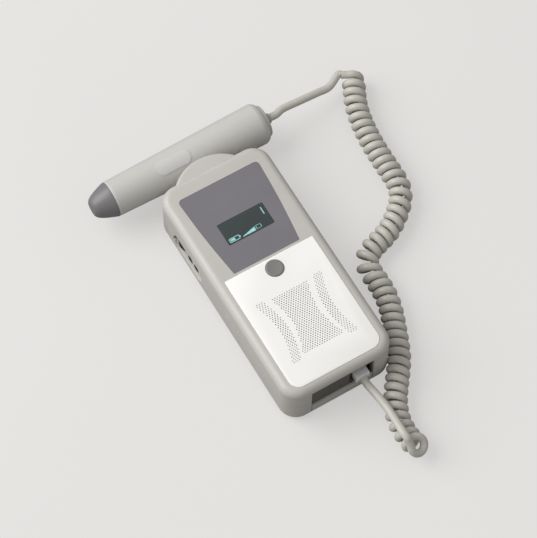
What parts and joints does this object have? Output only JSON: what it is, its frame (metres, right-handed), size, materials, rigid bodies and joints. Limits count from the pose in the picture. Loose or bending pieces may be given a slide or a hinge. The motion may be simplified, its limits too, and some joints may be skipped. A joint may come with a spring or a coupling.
{
  "type": "fetal doppler monitor",
  "caption": "Hand-held fetal Doppler monitor with a speaker plate, display and push button, a pencil probe in an end cradle and a curly cord.",
  "frame": {"origin": "middle of the case's rear face, on the surface that the unit lies on", "axes": "+Z out of the display face, +Y towards the probe in its cradle, +X towards the cable end of the probe"},
  "size_m": [0.2011, 0.2571, 0.039],
  "materials": {
    "shell": "fine satin moulding",
    "door": "satin moulding",
    "grey_panel": "matt label",
    "window": "clear acrylic over a dark display",
    "plate": "smooth perforated plate",
    "cloth": "black acoustic cloth",
    "dark_panel": "satin moulding",
    "button": "satin",
    "black_plastic": "moulded",
    "board": "glass fibre board",
    "metal": "zinc plated",
    "contact": "gold plated",
    "foam": "closed-cell foam",
    "battery_can": "bare wrapped can",
    "clear_plug": "clear moulded",
    "probe_shell": "smooth satin",
    "probe_grey": "satin grey",
    "end_cap": "smooth satin",
    "relief": "soft moulded",
    "label": "blank label",
    "ceramic": "piezo ceramic",
    "cord": "smooth satin jacket"
  },
  "bodies": {
    "case": {"front_shell": "shell", "rear_shell": "shell", "cradle_arm": "shell", "label_panel": "grey_panel", "display_window": "window", "speaker_plate": "plate", "grille_cloth": "cloth", "connector_panel": "dark_panel", "button_switch": "black_plastic", "main_board": "board", "board_chips": "black_plastic", "display_holder": "black_plastic", "display_module": "black_plastic", "speaker": "black_plastic", "speaker_gasket": "foam", "side_board": "board", "board_header": "black_plastic", "volume_pot": "metal", "headphone_socket": "black_plastic", "charge_socket": "black_plastic", "modular_jack": "black_plastic", "jack_contacts": "contact", "battery": "battery_can", "battery_snap": "black_plastic", "case_screws": "metal", "board_screws": "metal", "probe_lead": "cord"},
    "button": {"power_button": "button", "switch_plunger": "black_plastic"},
    "wheel": {"volume_wheel": "black_plastic"},
    "door": {"battery_door": "door", "battery_foam": "foam"},
    "probe": {"probe_body": "probe_shell", "probe_nose": "probe_grey", "probe_end_cap": "end_cap", "probe_strain_relief": "relief", "probe_label": "label", "probe_board": "board", "crystals": "ceramic", "crystal_backing": "black_plastic"},
    "plug": {"modular_plug": "clear_plug", "plug_contacts": "contact", "plug_lead": "cord", "curly_cord": "cord"}
  },
  "joints": [
    {"name": "button_press", "type": "slide", "parent": "case", "child": "button", "axis": [0, 0, -1], "range_m": [0, 0.001], "stiffness_N_per_m": 1500, "springref_m": -0.0008},
    {"name": "volume_turn", "type": "hinge", "parent": "case", "child": "wheel", "pos_m": [-0.03, 0.0526, 0.0146], "axis": [0, 0, 1], "range_deg": [0, 270]},
    {"name": "door_slide", "type": "slide", "parent": "case", "child": "door", "axis": [0, -1, 0], "range_m": [0, 0.012]},
    {"name": "probe_lift", "type": "slide", "parent": "case", "child": "probe", "axis": [0, 0.7071, 0.7071], "range_m": [0, 0.03]},
    {"name": "plug_pull", "type": "slide", "parent": "case", "child": "plug", "axis": [0, -1, 0], "range_m": [0, 0.012]}
  ]
}
